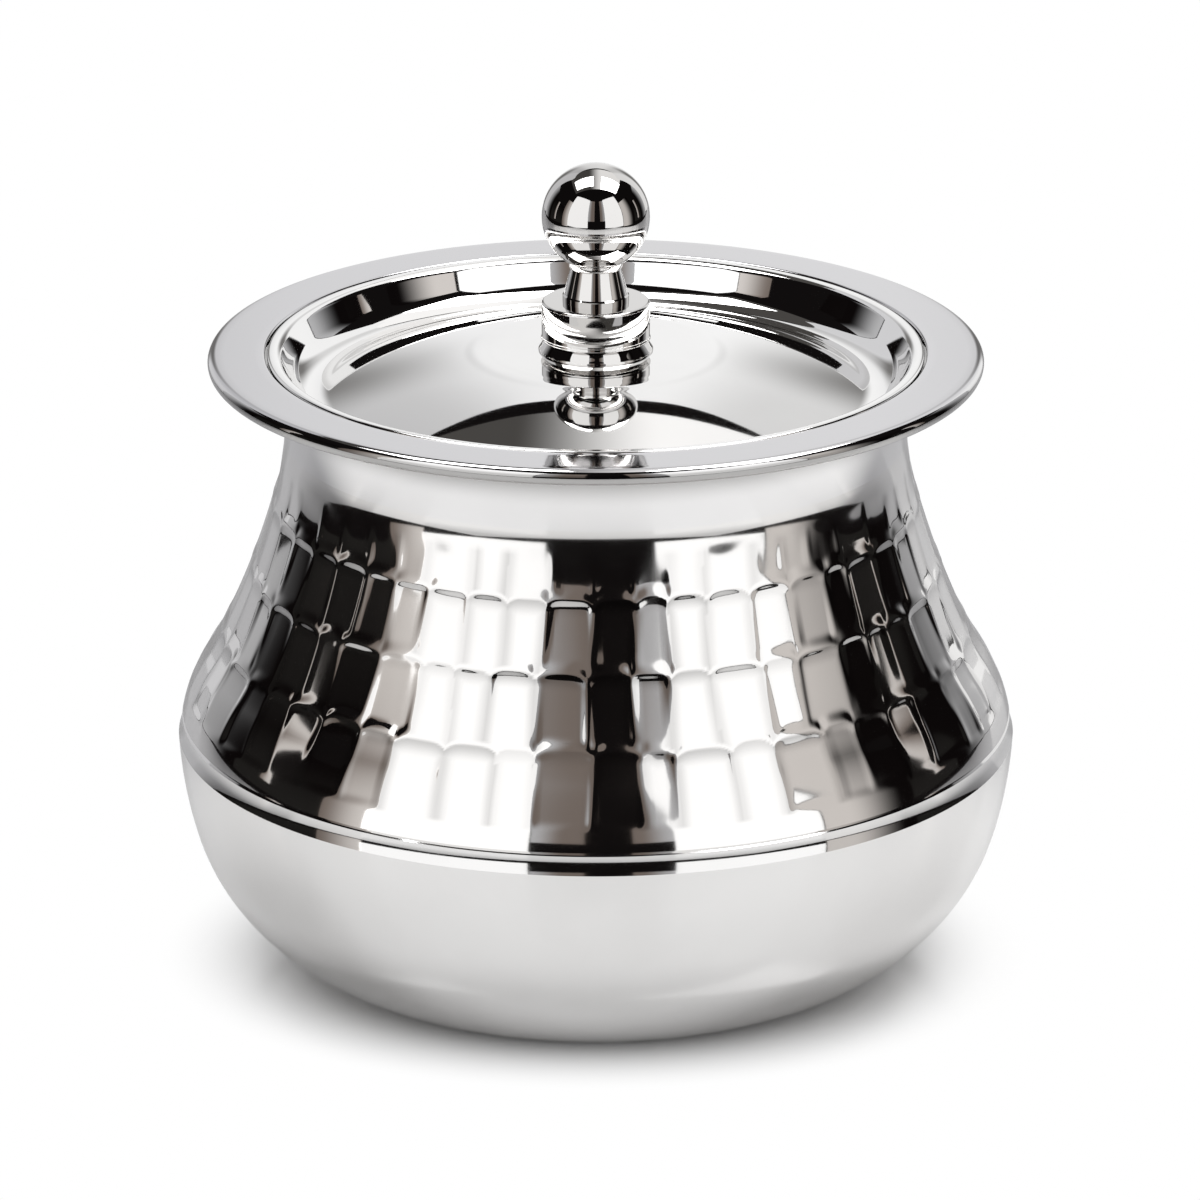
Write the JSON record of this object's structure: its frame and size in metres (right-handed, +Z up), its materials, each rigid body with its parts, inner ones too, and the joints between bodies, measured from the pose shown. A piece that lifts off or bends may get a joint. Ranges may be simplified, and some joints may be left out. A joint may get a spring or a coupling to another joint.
{
  "type": "ghee pot",
  "caption": "Round-bellied polished steel ghee pot with a hammered shoulder, a broad flat rim and a flush dished lid that lifts off by a ball knob.",
  "frame": {"origin": "centre of the pot's base, on the surface it stands on", "axes": "+Z up along the pot's axis, through the knob; X and Y are free because the pot is round"},
  "size_m": [0.1212, 0.1212, 0.1199],
  "materials": {
    "bowl_steel": "mirror-polished stainless steel",
    "hammered_steel": "hammered and mirror-polished stainless steel",
    "collar_steel": "mirror-polished stainless steel",
    "lid_steel": "mirror-polished stainless steel with faint turning lines",
    "knob_steel": "turned and mirror-polished stainless steel",
    "fastener_steel": "plain bright steel"
  },
  "bodies": {
    "pot": {"pot_bowl": "bowl_steel", "hammered_shoulder": "hammered_steel", "neck_collar": "collar_steel"},
    "lid": {"lid_plate": "lid_steel", "knob_seat_ring": "knob_steel", "knob_drum": "knob_steel", "knob_stem": "knob_steel", "knob_ball": "knob_steel", "knob_washer": "fastener_steel", "knob_screw": "fastener_steel"}
  },
  "joints": [
    {"name": "lid_lift", "type": "slide", "parent": "pot", "child": "lid", "axis": [0, 0, 1], "range_m": [0, 0.06]}
  ]
}
